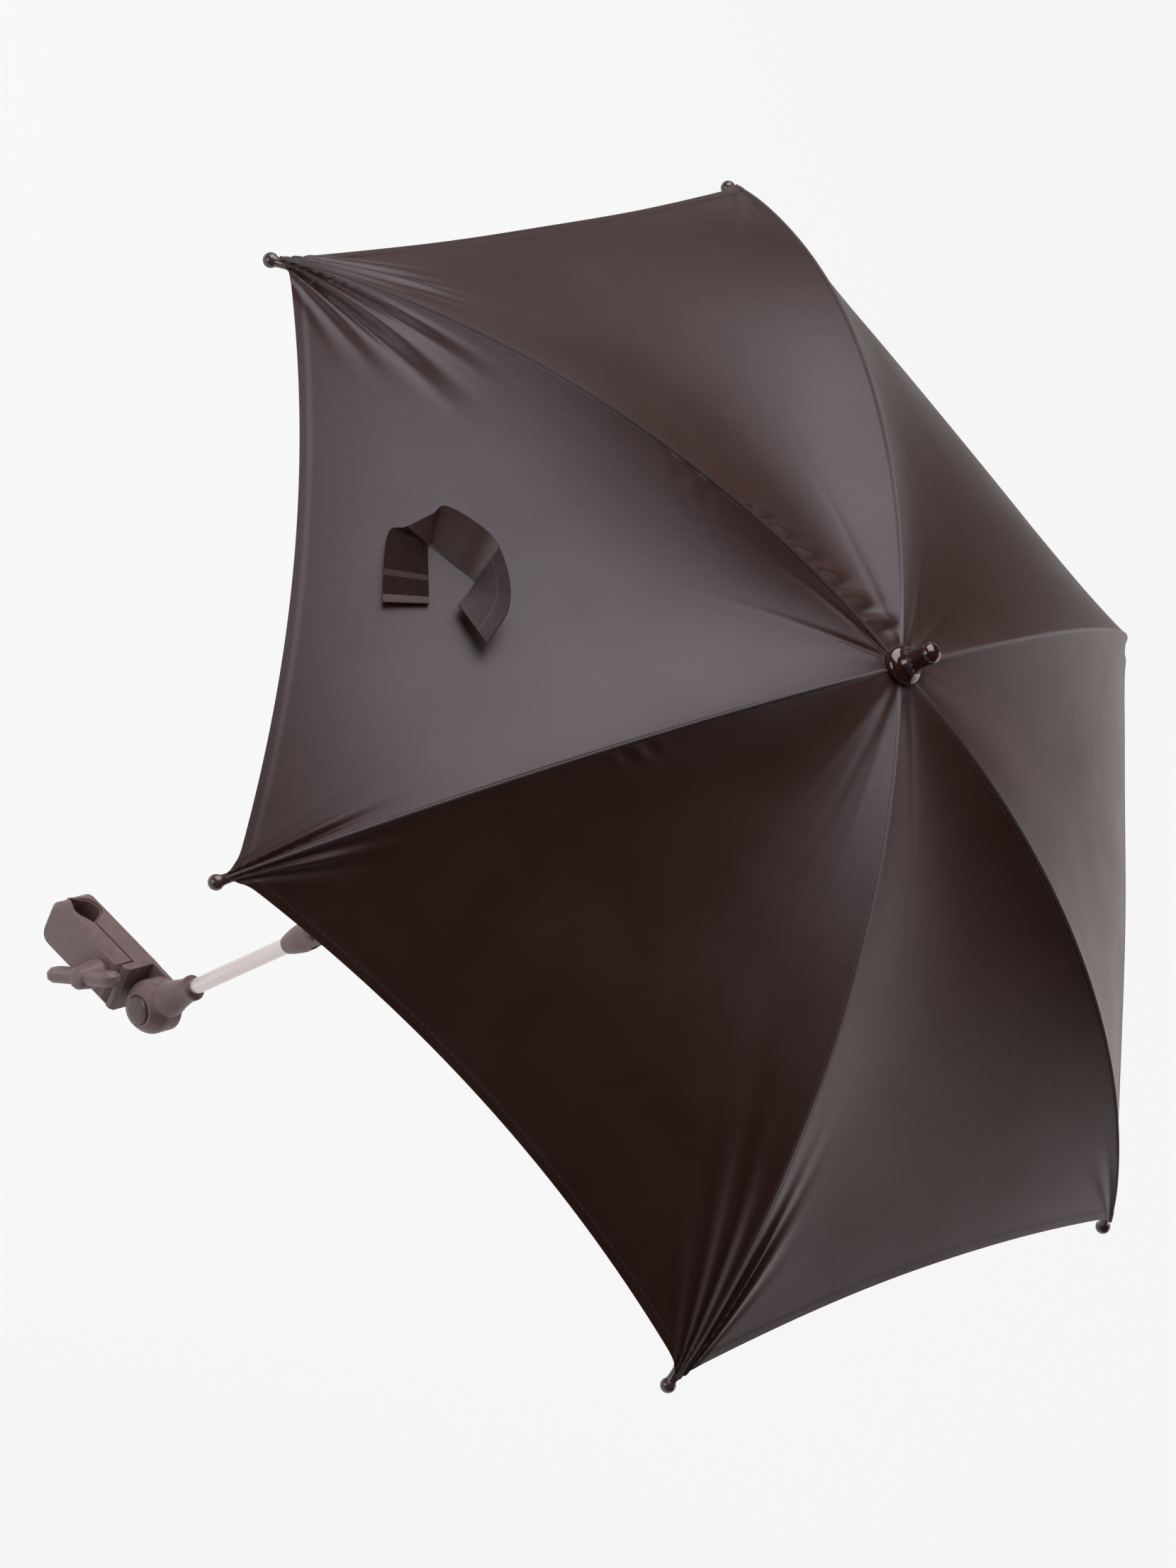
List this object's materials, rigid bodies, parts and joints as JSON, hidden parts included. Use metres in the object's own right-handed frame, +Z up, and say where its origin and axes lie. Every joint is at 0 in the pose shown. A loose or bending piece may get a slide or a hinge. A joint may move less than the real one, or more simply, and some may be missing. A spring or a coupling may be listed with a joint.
{
  "type": "pram parasol",
  "caption": "Dark clip-on pram parasol with a domed folding cloth canopy on a thin bright shaft, a tilt joint, a push-button swivel and a wing-knob screw clamp.",
  "frame": {"origin": "middle of the clamp's tube seat, on the axis of the pram tube that it holds", "axes": "+Z up along the shaft to the finial at rest; +Y away from the wing knob, towards the back of the clamp"},
  "size_m": [0.5941, 0.6848, 0.6996],
  "materials": {
    "canopy_cloth": "fine satin weave",
    "hook_tape": "woven hook-and-loop tape",
    "bright_tube": "bright drawn tube",
    "rib_steel": "bright steel strip",
    "black_plastic": "fine satin moulding",
    "button_plastic": "polished moulding",
    "finial_plastic": "polished moulding",
    "tip_plastic": "polished moulding",
    "pad_rubber": "soft matt",
    "fastener_steel": "zinc plated"
  },
  "bodies": {
    "clamp": {"clamp_frame": "black_plastic", "fixed_jaw_pad": "pad_rubber", "clamp_nut": "fastener_steel", "swivel_axle": "fastener_steel"},
    "jaw": {"moving_jaw": "black_plastic", "moving_jaw_pad": "pad_rubber", "jaw_guide_pin": "fastener_steel"},
    "knob": {"wing_knob": "black_plastic", "clamp_screw": "fastener_steel"},
    "swivel": {"swivel_head": "black_plastic", "lower_tube": "bright_tube", "tilt_fork": "black_plastic", "tilt_pin": "fastener_steel", "swivel_spring": "fastener_steel", "tilt_spring": "fastener_steel"},
    "swivel_push": {"swivel_button": "button_plastic"},
    "tilt_push": {"tilt_button": "black_plastic"},
    "shaft": {"tilt_tongue": "black_plastic", "upper_tube": "bright_tube", "crown": "black_plastic", "crown_ring": "rib_steel", "finial_cap": "finial_plastic"},
    "catch": {"runner_catch": "rib_steel"},
    "rib_1_arm": {"rib_1": "rib_steel", "rib_tip_1": "tip_plastic", "rib_rivet_1": "fastener_steel", "canopy_gore_1": "canopy_cloth", "tie_strap": "hook_tape"},
    "link_1": {"stretcher_1": "rib_steel"},
    "rib_2_arm": {"rib_2": "rib_steel", "rib_tip_2": "tip_plastic", "rib_rivet_2": "fastener_steel", "canopy_gore_2": "canopy_cloth"},
    "link_2": {"stretcher_2": "rib_steel"},
    "rib_3_arm": {"rib_3": "rib_steel", "rib_tip_3": "tip_plastic", "rib_rivet_3": "fastener_steel", "canopy_gore_3": "canopy_cloth"},
    "link_3": {"stretcher_3": "rib_steel"},
    "rib_4_arm": {"rib_4": "rib_steel", "rib_tip_4": "tip_plastic", "rib_rivet_4": "fastener_steel", "canopy_gore_4": "canopy_cloth"},
    "link_4": {"stretcher_4": "rib_steel"},
    "rib_5_arm": {"rib_5": "rib_steel", "rib_tip_5": "tip_plastic", "rib_rivet_5": "fastener_steel", "canopy_gore_5": "canopy_cloth"},
    "link_5": {"stretcher_5": "rib_steel"},
    "rib_6_arm": {"rib_6": "rib_steel", "rib_tip_6": "tip_plastic", "rib_rivet_6": "fastener_steel", "canopy_gore_6": "canopy_cloth"},
    "link_6": {"stretcher_6": "rib_steel"},
    "slider": {"runner": "black_plastic", "runner_ring": "rib_steel"}
  },
  "joints": [
    {"name": "jaw_slide", "type": "slide", "parent": "clamp", "child": "jaw", "axis": [0, -1, 0], "range_m": [0, 0.008]},
    {"name": "knob_turn", "type": "hinge", "parent": "jaw", "child": "knob", "pos_m": [0.02985, 0, 0.02013], "axis": [0, -1, 0], "range_deg": [0, 1440]},
    {"name": "swivel_turn", "type": "hinge", "parent": "clamp", "child": "swivel", "pos_m": [0.05803, 0, 0.03914], "axis": [0, 1, 0], "range_deg": [-34, 146]},
    {"name": "swivel_press", "type": "slide", "parent": "swivel", "child": "swivel_push", "axis": [0, 1, 0], "range_m": [0, 0.003], "stiffness_N_per_m": 500, "springref_m": -0.002, "deforming": ["swivel_spring"]},
    {"name": "tilt_press", "type": "slide", "parent": "swivel", "child": "tilt_push", "axis": [0, 1, 0], "range_m": [0, 0.0015], "stiffness_N_per_m": 800, "springref_m": -0.001, "deforming": ["tilt_spring"]},
    {"name": "tilt_turn", "type": "hinge", "parent": "swivel", "child": "shaft", "pos_m": [0.05803, 0, 0.18964], "axis": [0, 1, 0], "range_deg": [-90, 90]},
    {"name": "catch_press", "type": "hinge", "parent": "shaft", "child": "catch", "pos_m": [0.06089, 0, 0.53696], "axis": [0, -1, 0], "range_deg": [0, 8], "stiffness_Nm_per_rad": 0.4, "springref_deg": -4.58},
    {"name": "rib_1_fold", "type": "hinge", "parent": "shaft", "child": "rib_1_arm", "pos_m": [0.05024, -0.0045, 0.64824], "axis": [0.5, -0.866, 0], "range_deg": [0, 64], "deforming": ["canopy_gore_1", "tie_strap", "runner_catch"]},
    {"name": "link_1_fold", "type": "hinge", "parent": "rib_1_arm", "child": "link_1", "pos_m": [-0.08053, -0.08, 0.623], "axis": [0.5, -0.866, 0], "range_deg": [-128, 0]},
    {"name": "rib_2_fold", "type": "hinge", "parent": "shaft", "child": "rib_2_arm", "pos_m": [0.05024, 0.0045, 0.64824], "axis": [-0.5, -0.866, 0], "range_deg": [0, 64], "deforming": ["canopy_gore_2"]},
    {"name": "link_2_fold", "type": "hinge", "parent": "rib_2_arm", "child": "link_2", "pos_m": [-0.08053, 0.08, 0.623], "axis": [-0.5, -0.866, 0], "range_deg": [-128, 0]},
    {"name": "rib_3_fold", "type": "hinge", "parent": "shaft", "child": "rib_3_arm", "pos_m": [0.05803, 0.009, 0.64824], "axis": [-1, 0, 0], "range_deg": [0, 64], "deforming": ["canopy_gore_3"]},
    {"name": "link_3_fold", "type": "hinge", "parent": "rib_3_arm", "child": "link_3", "pos_m": [0.05803, 0.16, 0.623], "axis": [-1, 0, 0], "range_deg": [-128, 0]},
    {"name": "rib_4_fold", "type": "hinge", "parent": "shaft", "child": "rib_4_arm", "pos_m": [0.06583, 0.0045, 0.64824], "axis": [-0.5, 0.866, 0], "range_deg": [0, 64], "deforming": ["canopy_gore_4"]},
    {"name": "link_4_fold", "type": "hinge", "parent": "rib_4_arm", "child": "link_4", "pos_m": [0.1966, 0.08, 0.623], "axis": [-0.5, 0.866, 0], "range_deg": [-128, 0]},
    {"name": "rib_5_fold", "type": "hinge", "parent": "shaft", "child": "rib_5_arm", "pos_m": [0.06583, -0.0045, 0.64824], "axis": [0.5, 0.866, 0], "range_deg": [0, 64], "deforming": ["canopy_gore_5"]},
    {"name": "link_5_fold", "type": "hinge", "parent": "rib_5_arm", "child": "link_5", "pos_m": [0.1966, -0.08, 0.623], "axis": [0.5, 0.866, 0], "range_deg": [-128, 0]},
    {"name": "rib_6_fold", "type": "hinge", "parent": "shaft", "child": "rib_6_arm", "pos_m": [0.05803, -0.009, 0.64824], "axis": [1, 0, 0], "range_deg": [0, 64], "deforming": ["canopy_gore_6"]},
    {"name": "link_6_fold", "type": "hinge", "parent": "rib_6_arm", "child": "link_6", "pos_m": [0.05803, -0.16, 0.623], "axis": [1, 0, 0], "range_deg": [-128, 0]},
    {"name": "slider_hang", "type": "hinge", "parent": "link_1", "child": "slider", "pos_m": [0.05024, -0.0045, 0.59776], "axis": [0.5, -0.866, 0], "range_deg": [0, 64]}
  ],
  "couplings": [
    {"joint": "knob_turn", "follows": "jaw_slide", "rad_per_m": 3141.6},
    {"joint": "link_1_fold", "follows": "rib_1_fold", "ratio": -2},
    {"joint": "rib_2_fold", "follows": "rib_1_fold", "ratio": 1},
    {"joint": "link_2_fold", "follows": "rib_1_fold", "ratio": -2},
    {"joint": "rib_3_fold", "follows": "rib_1_fold", "ratio": 1},
    {"joint": "link_3_fold", "follows": "rib_1_fold", "ratio": -2},
    {"joint": "rib_4_fold", "follows": "rib_1_fold", "ratio": 1},
    {"joint": "link_4_fold", "follows": "rib_1_fold", "ratio": -2},
    {"joint": "rib_5_fold", "follows": "rib_1_fold", "ratio": 1},
    {"joint": "link_5_fold", "follows": "rib_1_fold", "ratio": -2},
    {"joint": "rib_6_fold", "follows": "rib_1_fold", "ratio": 1},
    {"joint": "link_6_fold", "follows": "rib_1_fold", "ratio": -2},
    {"joint": "slider_hang", "follows": "rib_1_fold", "ratio": 1}
  ]
}
